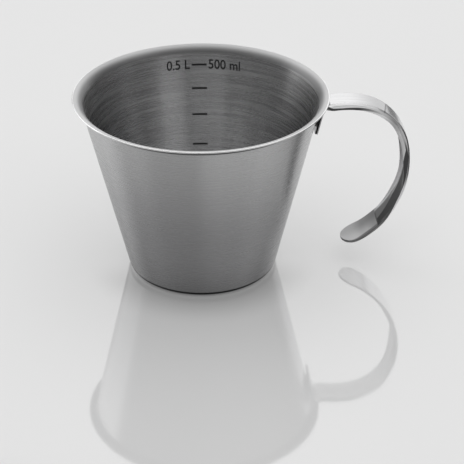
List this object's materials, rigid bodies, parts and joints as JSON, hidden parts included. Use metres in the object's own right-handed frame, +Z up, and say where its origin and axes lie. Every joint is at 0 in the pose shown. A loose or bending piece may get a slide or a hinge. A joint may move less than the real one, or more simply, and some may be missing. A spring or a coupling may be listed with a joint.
{
  "type": "measuring jug",
  "caption": "Conical brushed steel measuring jug with a flared lip, volume lines on the inner wall and an open strap handle welded under the lip.",
  "frame": {"origin": "on the cup's axis, in the plane of the base ring that the jug stands on", "axes": "+Z up along the cup's axis, +X towards the handle, +Y towards the volume lines"},
  "size_m": [0.1592, 0.12, 0.0895],
  "materials": {
    "cup_steel": "satin, fine brush lines running round the cup",
    "strap_steel": "bright satin, fine lines along the strap",
    "weld_steel": "dull weld metal",
    "scale_black": "matt black marking"
  },
  "bodies": {
    "root": {"cup_shell": "cup_steel", "handle_strap": "strap_steel", "spot_welds": "weld_steel", "graduation_lines": "scale_black"}
  },
  "joints": []
}
